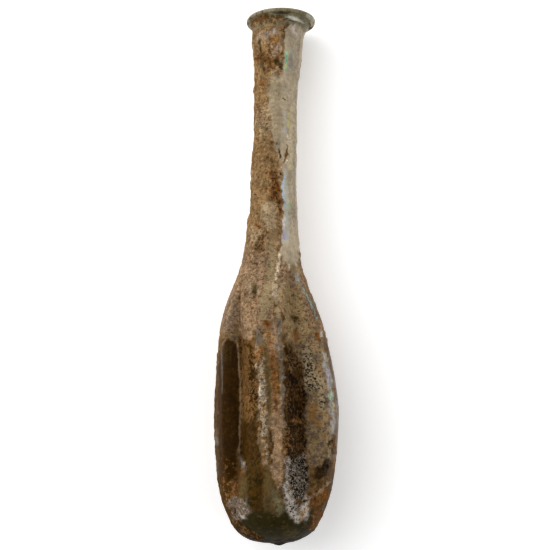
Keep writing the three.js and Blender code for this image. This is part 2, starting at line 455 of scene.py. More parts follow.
BODY_STROKES = [
    (silted(OCHRE_DARK, second=OCHRE, cover=0.3, speckle=0.3, gloss=0.2), 0.6,
     [(-16.9, 18, 0.9), (-17.1, 54, 0.9)]),
    (DARK_GLASS, 0.6, [(-12.8, 27, 3.0), (-12.9, 40, 3.1), (-12.6, 48, 2.8), (-11.9, 53, 2.1)]),
    (bare(FLUTE_OLIVE, clear=0.15, second=GLASS_DARK, cover=0.35), 1.0,
     [(-11.9, 53.4, 1.3), (-12, 50, 1.4)]),
    (bare(FLUTE_GLINT, clear=0.1), 0.2, [(-14.2, 53, 0.12), (-14.4, 47, 0.2), (-14.5, 41, 0.1)]),
    (silted(GREY_SPOT), 0.4, [(-15.9, 28.2, 0.4), (-15.9, 27.4, 0.4)]),
    (silted(OCHRE_DARK, second=GLASS_DARK, cover=0.45, speckle=0.4, gloss=0.75), 0.8,
     [(-7.2, 25, 2.3), (-7.2, 33.5, 2.3)]),
    (silted(OCHRE, second=OCHRE_DARK, cover=0.42, speckle=0.3, gloss=0.4), 0.7,
     [(-7.5, 36, 2.2), (-7.5, 50, 2.2), (-7.3, 56, 2.2)]),
    (crust(OCHRE, second=BROWN_DARK, cover=0.45, speckle=0.5), 0.6, [(-6.2, 52, 1.1), (-6, 36, 1.0)]),
    *dabs(OCHRE_BLOTCH, 0.5, [(-6.6, 54.6, 0.5), (-6, 53, 0.7)], [(-6.6, 48, 0.5), (-5.8, 46.2, 0.7)]),
    (BROWN_SPECK, 0.25, [(-7.1, 42, 0.3), (-7.1, 41.6, 0.3)]),
    (DARK_GLASS, 0.2, [(-10.9, 53, 0.9), (-10.9, 40, 0.9), (-10.8, 27, 0.9)]),
    # Painted highlight: a thin pale line along the crease between the dark flute and the ochre rib.
    (silted(TAN_SHOULDER, gloss=0.5), 0.15, [(-9.75, 56, 0.16), (-9.65, 42, 0.2), (-9.75, 25, 0.16)]),
    (CREAM_CRUST, 0.4,
     [(-2.5, 23, 0.3), (-2.6, 28, 0.6), (-3.0, 33, 0.8), (-3.7, 40, 1.1), (-3.7, 46, 1.0),
      (-3.0, 51, 0.5)]),
    (CRUMB, 0.25, [(-5.0, 48.8, 0.3), (-4.9, 48.2, 0.3)]),
    (CRUMB, 0.3, [(-4.2, 43.3, 0.25), (-3.9, 41, 0.25)]),
    (crust(WHITE_CRUST, second=PINK_BAND, cover=0.4, speckle=0.1, raised=0.1), 0.3,
     [(-2.5, 40.8, 0.4), (-2.4, 39.2, 0.4)]),
    (OLIVE_SKIN, 0.35, [(-2.0, 53, 0.6), (-2.0, 42, 0.7), (-1.7, 36, 0.4)]),
    (crust(ORANGE, second=RUST, cover=0.5, speckle=0.3), 0.4,
     [(-0.6, 52, 0.8), (-0.2, 46, 0.9), (0.1, 38, 0.9)]),
    (PINK_CRUST, 0.4, [(0.6, 41, 0.6), (0.3, 36, 1.1), (0.1, 27, 1.4)]),
    (crust(RUST_DEEP), 0.4, [(-0.4, 52, 0.3), (0, 50.4, 0.35)]),
    (crust(RUST), 0.4, [(-0.2, 41, 0.3), (-0.2, 37, 0.35)]),
    (DARK_GLASS, 0.25, [(-1.4, 33.8, 0.2), (-1.2, 30, 0.3), (-1.1, 23, 0.25)]),
    (silted(TAN_GREY, second=GREY_PINK, cover=0.45, speckle=0.45), 1.0,
     [(10.8, 25, 3.0), (11, 40, 3.4), (10.6, 56, 3.0)]),
    (silted(OCHRE, second=BROWN_DARK, cover=0.58, speckle=0.85, crumb=0.42), 0.9,
     [(5.4, 27, 2.7), (5.2, 33, 2.7)]),
    (DARK_MOTTLED, 1.4, [(3.3, 49, 1.3), (4.6, 43.5, 2.3), (5.4, 39.5, 2.7), (5, 35, 2.3)]),
    (silted(OCHRE, second=BLACK, cover=0.46, speckle=0.85), 0.9, [(4.2, 52.6, 1.2), (5, 48.5, 2.0)]),
    *dabs(BLACK_BLOTCH, 0.9, [(3.2, 53.2, 0.4), (4.2, 51.8, 0.4)], [(2.6, 49.6, 0.3), (3, 47, 0.4)]),
    *dabs(BLACK_BLOTCH, 1.1,
          [(5.4, 46.6, 0.5), (8.2, 44.6, 0.6)], [(3.4, 42.4, 0.6), (4.8, 41, 0.4)],
          [(5.2, 40.4, 0.5), (7.4, 37.8, 0.9)]),
    (BLACK_BLOTCH, 0.8, [(2.6, 36, 0.4), (3.4, 34.4, 0.5)]),
    (crust(OCHRE, second=BROWN_DARK, cover=0.35, speckle=0.4), 0.7, [(4.6, 34.4, 0.6), (7.6, 33, 0.7)]),
    (silted(TAN_LIGHT, second=BLACK, cover=0.30, speckle=0.75), 0.9, [(8.6, 53, 1.2), (9.6, 43.5, 1.9)]),
    (silted(TAN_LIGHT, second=BLACK, cover=0.30, speckle=0.6), 0.7, [(12, 45, 1.0), (12, 38.5, 1.0)]),
    (silted(STAIN_ORANGE, second=TAN, cover=0.4, speckle=0.25), 0.8,
     [(9.5, 37.6, 1.0), (9.4, 35.2, 1.2), (11.4, 33, 0.7)]),
    (LAVENDER_SKIN, 0.4, [(1.5, 56, 0.5), (1.6, 48, 0.45), (1.9, 40, 0.4), (2.0, 31, 0.2)]),
    # The second of these thin dark lines is painted shade along the left edge of the raised cream crust on
    # the middle rib.
    *dabs(BROWN_SPECK, 0.3, [(2.4, 45, 0.2), (2.4, 34, 0.2)], [(-4.9, 42, 0.1), (-4.8, 34, 0.12)]),
    (silted(LAVENDER_PALE, second=GREY_EDGE, cover=0.4, speckle=0.1, film=0.5), 0.8,
     [(13.4, 52, 0.5), (14.4, 44, 0.7), (15, 37, 0.8), (15.2, 30, 0.5)]),
    (silted(FILM_GREEN, speckle=0), 0.3, [(14.7, 41.6, 0.2), (14.9, 39.4, 0.3)]),
    (silted(FILM_YELLOW, speckle=0), 0.3, [(15.3, 38.6, 0.25), (15.5, 36.6, 0.3)]),
    (silted(FILM_MAUVE, speckle=0), 0.35, [(13.9, 47.4, 0.3), (14.2, 44.6, 0.3)]),
    (silted(GREY_PINK, second=GREY_EDGE, cover=0.5, speckle=0.15, gloss=0.8), 0.6,
     [(15.6, 56, 0.6), (16.7, 40, 0.5), (16.5, 23, 0.5)]),
]

SHOULDER_STROKES = [
    (crust(TAN_PINK, second=GREY_PINK, cover=0.3, speckle=0.3), 1.2,
     [(-12.2, 59.5, 1.9), (-10.2, 66, 2.2)]),
    (crust(ORANGE, second=TAN_SHOULDER, cover=0.5, speckle=0.4), 0.4,
     [(-15.6, 54, 0.4), (-14, 61.5, 0.4), (-12, 66.5, 0.3)]),
    (crust(TAN_SHOULDER, second=ORANGE, cover=0.3, speckle=0.5), 0.9, [(-7.3, 58, 2.0), (-6.3, 69, 2.8)]),
    (silted(TAN_SHOULDER, second=OCHRE, cover=0.35, speckle=0.4), 1.0, [(5.6, 66, 3.0), (5.2, 70, 2.6)]),
    (silted(SHOULDER_OLIVE, second=OCHRE, cover=0.32, speckle=0.45), 0.6,
     [(4.2, 68.8, 1.5), (5.6, 66, 2.8), (6.6, 58, 3.4)]),
    (silted(STRIP_PALE, second=TAN_PALE, cover=0.4, speckle=0.15), 0.35,
     [(2.2, 68.6, 0.3), (3.4, 71.2, 0.4), (6, 71.6, 0.4), (8.8, 68.6, 0.3)]),
    (silted(STRIP_PALE, second=TAN_SHOULDER, cover=0.35, speckle=0.15), 0.6,
     [(5.4, 83, 1.4), (6.3, 77, 1.3), (7.6, 72, 0.9)]),
    (crust(TAN_PALE, second=WHITE_CRUST, cover=0.4, speckle=0.25, crumb=0.75), 0.7,
     [(0.9, 71, 0.9), (1.2, 67, 0.9)]),
    (crust(ORANGE, second=TAN_SHOULDER, cover=0.4, speckle=0.25), 0.6,
     [(-1.4, 60.6, 0.8), (-0.6, 53, 0.9)]),
    (crust(TAN_SHOULDER, second=TAN_PINK, cover=0.5, speckle=0.2), 0.6, [(0.3, 62, 0.6), (0.6, 52, 0.7)]),
    (LAVENDER_SKIN, 0.5, [(1.6, 63, 0.4), (1.6, 54, 0.4)]),
    (LAVENDER_SKIN, 0.4, [(-4.0, 59.6, 0.5), (-3.9, 54.6, 0.5)]),
    (silted(STRIP_PALE, second=STRIP_OLIVE, cover=0.3, speckle=0.08), 0.4,
     [(0.5, 84, 1.0), (0.2, 77, 1.1), (-0.8, 71, 1.2), (-1.6, 66, 1.4), (-2.7, 62, 0.9)]),
    (silted(STRIP_PALE, second=STRIP_OLIVE, cover=0.35, speckle=0.1), 0.5,
     [(1.0, 66.5, 0.7), (1.5, 62.5, 0.5)]),
    (silted(LAVENDER_PALE, second=LAVENDER, cover=0.3, film=0.45, speckle=0.1), 0.6,
     [(6.9, 73, 0.6), (7.2, 71.8, 0.8)]),
    (silted(LAVENDER, second=GREY_EDGE, cover=0.5, film=0.55, speckle=0.1), 0.5,
     [(8.4, 70.6, 0.5), (10.2, 67, 0.5), (12.4, 61, 0.4)]),
    (crust(RUST_DEEP), 0.35, [(-1.5, 60.9, 0.35), (-1.4, 60, 0.35)]),
    (silted(GLASS_OLIVE, second=OCHRE_DARK, cover=0.5), 0.4, [(-4.6, 70, 0.45), (-4.4, 68.4, 0.55)]),
    (BROWN_SPECK, 0.3, [(-4.6, 67.4, 0.3), (-4.4, 67.2, 0.3)]),
    *dabs(CREAM_FLAKE, 0.4, [(-6.0, 71.6, 0.4), (-5.8, 68.8, 0.4)], [(-3.6, 70.6, 0.25), (-3.5, 68, 0.25)]),
    (OCHRE_BLOTCH, 0.8, [(6.0, 62, 0.5), (6.6, 61, 0.5)]),
    (OCHRE_BLOTCH, 0.7, [(2.9, 62.2, 0.4), (3.1, 61.6, 0.4)]),
    (silted(ORANGE, second=OCHRE, cover=0.4), 0.8, [(6.0, 57.6, 0.8), (6.4, 56, 0.8)]),
    (BROWN_SPECK, 0.4, [(3.2, 54.2, 0.35), (3.4, 52.6, 0.4)]),
    (crust(RUST, second=RUST_DEEP, cover=0.4), 0.3, [(12.0, 57.4, 0.7), (12.1, 56.2, 0.6)]),
    # Painted highlight: a small pale dot beside the rust chip.
    (PAINTED_GLINT, 0.25, [(13.3, 57.6, 0.25), (13.4, 56.6, 0.3)]),
    (crust(TAN_PINK, speckle=0), 0.3, [(12.9, 58.6, 0.4), (13.1, 58, 0.35)]),
    (crust(V_PALE, second=CREAM, cover=0.3, speckle=0.1, raised=0.1), 0.3,
     [(1.2, 72.4, 0.3), (2.9, 81.4, 0.45), (4.4, 77, 0.4), (4.9, 75, 0.2)]),
]

NECK_STROKES = [
    (NECK_GLASS, 0.5, [(5.4, 78, 2.0), (5.3, 90, 2.8), (5.2, 109, 3.0)]),
    (NECK_GLASS, 0.6, [(4.2, 109, 3.9), (4, 116, 4.8), (4.2, 122, 5.8), (4.4, 126, 6.4)]),
    (NECK_GLASS, 0.4, [(4.9, 130, 3.2), (4.9, 143, 3.2)]),
    (bare(NECK_SHADE, clear=0.1, second=STRIP_PALE, cover=0.3, gloss=0.7), 0.9,
     [(0.6, 109.5, 0.6), (0.4, 116, 1.3), (-0.6, 125, 1.9), (-0.4, 130, 1.6)]),
    # Darker olive glass down the neck's right edge: partly the glass's own olive, partly painted shade
    # where the neck turns away.
    (bare(NECK_EDGE_OLIVE_SHADE, clear=0.1), 0.5, [(5.9, 142, 0.4), (5.8, 88, 0.4)]),
    # Painted highlight: a bright streak down the right of the neck glass.
    (bare(NECK_HIGHLIGHT, clear=0.1), 0.5, [(4.4, 122, 0.7), (4.4, 104, 0.6)]),
    # Painted highlight: a thin grey streak on the neck glass.
    (bare(GREY_HIGHLIGHT_STREAK, clear=0.1), 0.3, [(2.6, 121, 0.25), (2.6, 114, 0.4)]),
    (bare(FILM_YELLOW, clear=0.1), 0.35, [(3.6, 120.6, 0.2), (3.6, 115.6, 0.3)]),
    (silted(TAN_PALE, second=TAN_NECK, cover=0.35, speckle=0.3, gloss=0.4), 0.5,
     [(-1.4, 92.6, 1.9), (-0.9, 88.6, 1.8)]),
    (silted(STRIP_PALE, second=TAN_NECK, cover=0.4, speckle=0.3), 0.5, [(0.4, 86, 0.9), (0.5, 80, 0.9)]),
    (crust(RUST, second=TAN_NECK, cover=0.5, speckle=0.8), 0.7, [(-2.0, 85.6, 0.6), (-3.4, 81.4, 1.2)]),
    (crust(RUST), 0.2, [(-5.6, 88.2, 0.1), (-3.6, 87.4, 0.12), (-1.6, 86.2, 0.12)]),
    *dabs(BROWN_SPECK, 0.25,
          [(-5.9, 78.5, 0.25), (-5.8, 78.2, 0.25)], [(-4.4, 76.4, 0.25), (-4.0, 76.2, 0.25)],
          [(-2.2, 77.4, 0.25), (-2.1, 77, 0.25)]),
    (crust(RUST, second=ORANGE, cover=0.5, speckle=0.8), 0.5,
     [(0.0, 101, 1.1), (0.4, 97.5, 1.3), (1.3, 93.6, 0.7)]),
    (crust(RUST_DEEP, second=BROWN_DARK, cover=0.4), 0.4, [(0.8, 99.4, 0.4), (1.0, 97.6, 0.5)]),
    (crust(RUST_DEEP), 0.3, [(1.2, 92.2, 0.35), (1.5, 91.8, 0.35)]),
    (crust(OCHRE, second=RUST, cover=0.4), 0.35, [(0.7, 109.2, 0.3), (1.3, 107.4, 0.4)]),
    (BROWN_SPECK, 0.3, [(0.9, 108.6, 0.3), (1.2, 107.8, 0.3)]),
    (crust(RUST, second=OCHRE, cover=0.4), 0.35, [(-1.0, 106.6, 0.4), (-0.4, 106.2, 0.3)]),
    (crust(ORANGE, second=RUST, cover=0.5, speckle=0.3), 0.3,
     [(3.4, 111, 0.2), (3.1, 107.6, 0.35), (2.8, 106.2, 0.3)]),
    # Painted glints on the neck glass and on the rust flake.
    *dabs(PAINTED_GLINT, 0.2,
          [(3.5, 113.4, 0.12), (3.8, 111.6, 0.15)], [(3.3, 105.4, 0.2), (3.5, 106.4, 0.15)],
          [(1.8, 104.6, 0.15), (2.0, 104.2, 0.15)]),
    (BROWN_SPECK, 0.25, [(1.9, 124.6, 0.2), (2.4, 124.2, 0.2)]),
    *dabs(BROWN_SPECK, 0.2, [(0.4, 111.4, 0.2), (0.4, 111.2, 0.2)], [(1.7, 102.2, 0.2), (1.7, 102, 0.2)]),
    (filmed(FILM_PALE, film=0.5), 0.6, [(3.2, 103, 0.5), (3.5, 92, 0.8), (3.6, 83, 0.8)]),
    (filmed(FILM_BLUE), 0.3, [(2.7, 101, 0.25), (2.8, 92.4, 0.3)]),
    (filmed(FILM_WHITE), 0.3, [(2.9, 89.4, 0.3), (2.8, 86.6, 0.35)]),
    (filmed(FILM_MAUVE), 0.3, [(3.3, 85.4, 0.35), (3.4, 83.4, 0.35)]),
    (filmed(FILM_GREEN), 0.3, [(4.3, 94.6, 0.2), (4.3, 92.2, 0.25)]),
    (filmed(FILM_GREEN), 0.25, [(2.6, 138.6, 0.45), (2.8, 133.2, 0.5)]),
    (filmed(TEAL), 0.25, [(2.7, 137.2, 0.35), (2.8, 135.6, 0.4)]),
    (filmed(FILM_YELLOW), 0.25, [(2.9, 135, 0.3), (2.9, 134, 0.3)]),
    (filmed(LAVENDER_PALE), 0.3, [(4.1, 138.6, 0.45), (4.2, 133.4, 0.5)]),
    (crust(GLASS_OLIVE, second=OCHRE_DARK, cover=0.5), 0.6, [(-0.2, 135.4, 0.8), (1.0, 134.4, 0.7)]),
    (crust(NECK_PINK, second=TAN_NECK, cover=0.4, speckle=0.25), 0.5,
     [(-4.4, 142.6, 1.9), (-0.6, 142, 1.8), (-0.4, 138.8, 1.5)]),
    (crust(RUST, second=OCHRE, cover=0.5, speckle=0.7), 0.8, [(-5, 137, 1.2), (-2.2, 135.4, 1.1)]),
    *dabs(OLIVE_BLOTCH, 0.4,
          [(-4.9, 141.6, 0.35), (-4.8, 138.5, 0.35)], [(-4, 135, 0.3), (-4, 133.4, 0.3)]),
    (BROWN_SPECK, 0.3, [(0.9, 133.6, 0.3), (1.6, 133.2, 0.3)]),
    (silted(GLASS_OLIVE, speckle=0), 0.3, [(1.7, 143, 0.12), (1.9, 139.6, 0.12)]),
    (crust(RUST, second=ORANGE, cover=0.5), 0.4, [(-4.2, 130, 0.6), (-3.8, 127.6, 0.6)]),
    # Painted highlight: a small whitish spot on the neck crust.
    (crust(CREAM, speckle=0), 0.25, [(-5, 128.2, 0.2), (-3.8, 128, 0.2)]),
    (silted(TAN_PINK, second=LAVENDER_PALE, cover=0.4, speckle=0.2), 0.7,
     [(-3.6, 143.4, 0.9), (-0.6, 144.6, 0.8)]),
    (silted(FILM_WHITE, film=0.4, speckle=0, second=FILM_MAUVE, cover=0.4), 0.6,
     [(3.9, 145.2, 0.3), (4.9, 143.8, 0.35)]),
]

# The rust stain under the lip: its centre, its half width and half height, and its soft edge.
STAIN_X, STAIN_HEIGHT = -1.0, 141.8
STAIN_HALF_WIDTH, STAIN_HALF_HEIGHT, STAIN_EDGE = 1.5, 1.3, 0.35

# Strokes on the lip, as (direction in degrees, height, half width in millimetres). The directions
# are unrolled at this radius.
LIP_ROUND = 8
LIP_STROKES = [
    (bare(LIP_OLIVE, clear=0.2, second=LIP_BROWN, cover=0.25), 0.4,
     [(-180, 148.3, 0.7), (180, 148.3, 0.7)]),
    (bare(STRIP_PALE, clear=0.1), 0.2, [(-60, 148.6, 0.12), (80, 148.6, 0.12)]),
    (crust(TAN_NECK, second=LIP_BROWN, cover=0.42, speckle=0.35), 0.5,
     [(-95, 146.2, 0.9), (5, 146.0, 0.9)]),
    (crust(LIP_BROWN, second=RUST, cover=0.5, speckle=0.4), 0.5, [(-70, 146.9, 0.4), (-25, 146.9, 0.5)]),
    (crust(BLACK, second=LIP_BROWN, cover=0.3), 0.25,
     [(-14, 147.35, 0.1), (2, 147.4, 0.25), (16, 147.4, 0.15)]),
    (crust(LIP_BROWN), 0.25, [(16, 147.4, 0.1), (70, 147.4, 0.1)]),
    (bare(LIP_PALE, clear=0.2), 0.2, [(50, 147.9, 0.35), (95, 147.5, 0.45)]),
    # Painted highlight: a pale wedge on the underside of the lip.
    (bare(LIP_HIGHLIGHT, clear=0.1), 0.2, [(9, 146.7, 0.05), (34, 146.3, 0.45), (60, 146.1, 0.05)]),
    # Painted shade: a thin black line in the fold where the lip's underside meets the neck, under the
    # painted highlight.
    (crust(BLACK), 0.15, [(6, 146.5, 0.08), (20, 145.95, 0.12), (40, 145.6, 0.14), (64, 145.6, 0.08)]),
]

# ---------------------------------------------------------------------------------------------
# Laying the finishes on the glass
# ---------------------------------------------------------------------------------------------


FAR = 1e3


def stroke_distance(x, y, path):
    """Distance in millimetres outside a stroke of changing width; negative inside it."""
    best = np.full(x.shape, FAR)
    for (x0, y0, w0), (x1, y1, w1) in zip(path, path[1:]):
        dx, dy = x1 - x0, y1 - y0
        share = np.clip(((x - x0) * dx + (y - y0) * dy) / max(dx * dx + dy * dy, 1e-6), 0, 1)
        away = np.hypot(x - x0 - share * dx, y - y0 - share * dy)
        best = np.minimum(best, away - mix(w0, w1, share))
    return best


class Coat:
    """The finish at every vertex, laid on one stroke at a time."""

    def __init__(self, count):
        self.tone = np.zeros((count, 3))
        self.second = np.zeros((count, 3))
        self.values = {name: np.zeros(count) for name in CHANNELS}
        self.raised = np.zeros(count)

    def lay(self, what, share):
        share = np.clip(share, 0, 1)
        self.tone += (np.array(what["tone"]) - self.tone) * share[:, None]
        self.second += (np.array(what["second"]) - self.second) * share[:, None]
        for name in CHANNELS:
            self.values[name] += (what[name] - self.values[name]) * share
        self.raised += (what["raised"] - self.raised) * share


# Strokes with an edge this soft or less are drawn nearly straight; the rest have ragged edges.
FIRM_EDGE = 0.2


def lay_strokes(coat, strokes, place, stray, where):
    """Lays strokes in order at the places of the vertices, where the share given is over zero."""
    near = where > 0
    for what, soft, path in strokes:
        ragged = 0.25 if soft <= FIRM_EDGE else 1.0
        gap = np.full(near.shape, FAR)
        gap[near] = stroke_distance(*(place[:, near] + ragged * stray[:, near]), path)
        coat.lay(what, (1 - ease(gap, -0.6 * soft, 0.6 * soft)) * where)


def wander(points, size, reach, seed):
    """Noise with features of a size, that strays from zero up to a reach in millimetres."""
    return (layered(points, size, seed, 2) - 0.5) * 2 * reach


def lay_ground(coat, points, under):
    """The plain ground: ochre skin on the body, tan crust on the shoulder and neck, bare glass at
    the foot, on the lip and in patches underneath."""
    height = points[:, 1]
    wide = layered(points, 9, 11, 3)
    patchy = layered(points * (1, 0.6, 1), 5, 23, 3)
    small = layered(points, 2.2, 31, 3)
    coat.lay(GREY_TAN_SKIN, np.ones(len(points)))
    coat.lay(OCHRE_SKIN, ease(patchy, 0.45, 0.55))
    coat.lay(ORANGE_CRUST, ease(layered(points, 4, 41, 3), 0.60, 0.68))
    coat.lay(PINK_CRUST, ease(small + 0.3 * wide, 0.74, 0.84))
    coat.lay(DARK_OCHRE_SKIN, (1 - ease(height + 12 * (patchy - 0.5), 14, 26)) * 0.8)
    shoulder_crust = crust(TAN_SHOULDER, second=ORANGE, cover=0.25, speckle=0.5)
    coat.lay(shoulder_crust, ease(height + 10 * (patchy - 0.5), 52, 62))
    shady = ease(layered(points * (1, 0.45, 1), 8, 53, 3), 0.53, 0.57) * (1 - ease(height, 58, 66))
    coat.lay(DARK_GLASS, under * shady)
    coat.lay(FOOT_GLASS, ease(8 - height + 6 * (small - 0.5), -1.5, 1.5))

    neck = ease(height, 76, 84)
    coat.lay(NECK_CRUST, neck)
    pale_crust = crust(TAN_PALE, second=TAN_NECK, cover=0.5, speckle=0.35)
    coat.lay(pale_crust, neck * ease(patchy, 0.54, 0.60) * 0.7)
    rust_crust = crust(RUST, second=TAN_NECK, cover=0.5, speckle=0.7)
    coat.lay(rust_crust, neck * ease(small + 0.4 * wide, 0.80, 0.88))
    coat.lay(NECK_GLASS, under * neck * ease(wide + 0.15 * small, 0.56, 0.6))

    lip = ease(height, 143.8, 145.6)
    coat.lay(bare(LIP_GREEN, clear=0.4, second=LIP_BROWN, cover=0.3, raised=-0.05), lip)
    lip_crust = crust(LIP_BROWN, second=OCHRE, cover=0.4, speckle=0.6)
    coat.lay(lip_crust, lip * ease(small + 0.25 * wide, 0.70, 0.82))


def lay_stain(coat, place, where):
    """The rust stain under the lip, darker round its edge."""
    x, height = place
    off = np.hypot((x - STAIN_X) / STAIN_HALF_WIDTH, (height - STAIN_HEIGHT) / STAIN_HALF_HEIGHT) - 1
    off = off * STAIN_HALF_HEIGHT
    middle = crust(STAIN_ORANGE, second=TAN_NECK, cover=0.35)
    coat.lay(middle, (1 - ease(off, -STAIN_EDGE, STAIN_EDGE)) * where)
    coat.lay(crust(RUST, speckle=0.2), (1 - ease(np.abs(off), 0, STAIN_EDGE)) * where * 0.7)


def lay_lip(coat, points, direction, where):
    """The strokes round the lip, laid on its edge as if it were unrolled."""
    round_lip = np.radians((direction + 180) % 360 - 180) * LIP_ROUND
    height = points[:, 1] + 0.3 * wander(points, 1.5, 0.5, 66)
    for what, soft, path in LIP_STROKES:
        unrolled = [(math.radians(turn) * LIP_ROUND, h, w) for turn, h, w in path]
        coat.lay(what, (1 - ease(stroke_distance(round_lip, height, unrolled), -soft, soft)) * where)


def coat_flask(points, direction, inside):
    """Lays every finish, for vertices at points (x from the axis, height, z) in millimetres."""
    x, height, z = points.T
    coat = Coat(len(points))
    upper = ease(z / np.maximum(np.hypot(x, z), 0.5), -0.25, 0.1)
    lay_ground(coat, points, 1 - upper)

    # The strokes are laid down a line that leans towards the foot. Their places stray a little
    # first, for ragged edges.
    place = np.stack([x, height + z * math.tan(LAYING_LEAN)])
    stray = np.stack([
        wander(points, 3.5, 0.35, 61) + wander(points, 1.0, 0.7, 62),
        wander(points, 3.5, 0.6, 63) + wander(points, 1.0, 1.0, 64),
    ])
    below_lip = upper * (1 - inside) * (1 - ease(height, 145.5, 146.5))
    for strokes in (FOOT_STROKES, BODY_STROKES, SHOULDER_STROKES, NECK_STROKES):
        lay_strokes(coat, strokes, place, stray, below_lip)
    lay_stain(coat, place + stray, below_lip)
    lay_lip(coat, points, direction, 1 - inside)

    # The inside is filmed over with fine tan silt.
    coat.lay(crust(OCHRE, speckle=0.4), inside * 0.9)
    return coat


def relief(points, coat, inside):
    """How far the surface stands off the plain glass, in millimetres."""
    rough = 1 - coat.values["gloss"]
    lumps = (layered(points, 2.4, 71, 3) - 0.5) * 0.34
    grit = (layered(points, 0.9, 75, 2) - 0.5) * 0.20
    waves = (layered(points, 7, 79, 2) - 0.5) * 0.10
    grains = np.clip(0.5 - nearest_grain(points, 0.9, 83), 0, 1) * coat.values["crumb"] * 0.5
    flaked = ease(layered(points, 3.0, 87, 3), 0.46, 0.50) * 0.12
    height = points[:, 1]
    left_neck = ease(-points[:, 0], 1.5, 4.5) * ease(height, 82, 88) * (1 - ease(height, 138, 144))
    knobs = ease(layered(points, 3.2, 91, 2), 0.50, 0.75) * 0.5 * left_neck
    high = rough * (0.04 + lumps + grit + flaked + grains) + knobs + waves + coat.raised
    high = high * mix(1, 0.3, ease(height, 143, 146))
    return high * (1 - inside)


# ---------------------------------------------------------------------------------------------
# The flask's mesh
# ---------------------------------------------------------------------------------------------


def grid_normals(grid):
    """Outward directions for rows that run up the outside and columns that run clockwise."""
    along_rows = np.gradient(grid, axis=0)
    along_columns = (np.roll(grid, -1, 1) - np.roll(grid, 1, 1)) / 2
    normal = np.cross(along_columns, along_rows)
    length = np.linalg.norm(normal, axis=2, keepdims=True)
    return normal / np.maximum(length, 1e-9)


def build_flask(material):
    profile, outer_count = outline_profile()
    axis_grid, shift = flask_grid(profile)
    rows, columns = axis_grid.shape[:2]
    inner_start = outer_count + LIP_ROWS + 1 + 1 + len(THROAT)
    inside = np.zeros((rows, columns))
    inside[inner_start - len(THROAT):] = 1
    points = axis_grid.reshape(-1, 3)
    direction = np.degrees(np.arctan2(points[:, 0], points[:, 2]))
    coat = coat_flask(points, direction, inside.reshape(-1))
    lift = relief(points, coat, inside.reshape(-1)).reshape(rows, columns)

    plain = axis_grid + shift
    normal = grid_normals(plain)
    sign = 1.0 if normal[rows // 3, 0] @ (axis_grid[rows // 3, 0] * (1, 0, 1)) > 0 else -1.0
    lift[0] = lift[0].mean()
    raised = plain + normal * sign * lift[..., None]
    laid = lay_down(raised, plain) * MM
    box_low, box_high = (Vector(v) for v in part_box("flask"))
    laid[..., 0] += (box_low.x + box_high.x) / 2
    laid[..., 1] += (box_low.y + box_high.y) / 2
    laid[..., 2] += box_low.z

    # One vertex for each pole, then a ring for every other row.
    verts = np.vstack([laid[0, :1], laid[1:-1].reshape(-1, 3), laid[-1, :1]])
    keep = np.concatenate([[0], np.arange(columns, columns * (rows - 1)), [columns * (rows - 1)]])

    def ring(row):
        return 1 + (row - 1) * columns + np.arange(columns)

    faces = []
    for row in range(1, rows - 2):
        a, b = ring(row), ring(row + 1)
        faces += list(zip(a, np.roll(a, -1), np.roll(b, -1), b))
    last = len(verts) - 1
    first_ring, last_ring = ring(1), ring(rows - 2)
    faces += [(0, q, p) for p, q in zip(first_ring, np.roll(first_ring, -1))]
    faces += [(last, p, q) for p, q in zip(last_ring, np.roll(last_ring, -1))]
    mesh = bpy.data.meshes.new("flask_glass")
    mesh.from_pydata(verts.tolist(), [], [tuple(int(i) for i in f) for f in faces])
    mesh.update()
    make_outward(mesh)
    mesh.polygons.foreach_set("use_smooth", [True] * len(mesh.polygons))
    for name, tone in (("tone", coat.tone), ("second_tone", coat.second)):
        layer = mesh.attributes.new(name, "FLOAT_COLOR", "POINT")
        rgba = np.concatenate([tone[keep], np.ones((len(keep), 1))], 1)
        layer.data.foreach_set("color", rgba.astype(np.float32).ravel())
    for name in CHANNELS:
        layer = mesh.attributes.new(name, "FLOAT", "POINT")
        layer.data.foreach_set("value", coat.values[name][keep].astype(np.float32))
    mesh.materials.append(material)
    flask = bpy.data.objects.new("weathered_flask", mesh)
    bpy.context.scene.collection.objects.link(flask)
    return flask


def make_outward(mesh):
    """Turns the faces over if the closed mesh's volume comes out negative."""
    co = np.empty(len(mesh.vertices) * 3)
    mesh.vertices.foreach_get("co", co)
    co = co.reshape(-1, 3)
    mesh.calc_loop_triangles()
    tri = np.empty(len(mesh.loop_triangles) * 3, int)
    mesh.loop_triangles.foreach_get("vertices", tri)
    a, b, c = (co[tri.reshape(-1, 3)[:, k]] for k in range(3))
    if (a * np.cross(b, c)).sum() < 0:
        mesh.flip_normals()


# ---------------------------------------------------------------------------------------------
# The weathered glass material
# ---------------------------------------------------------------------------------------------


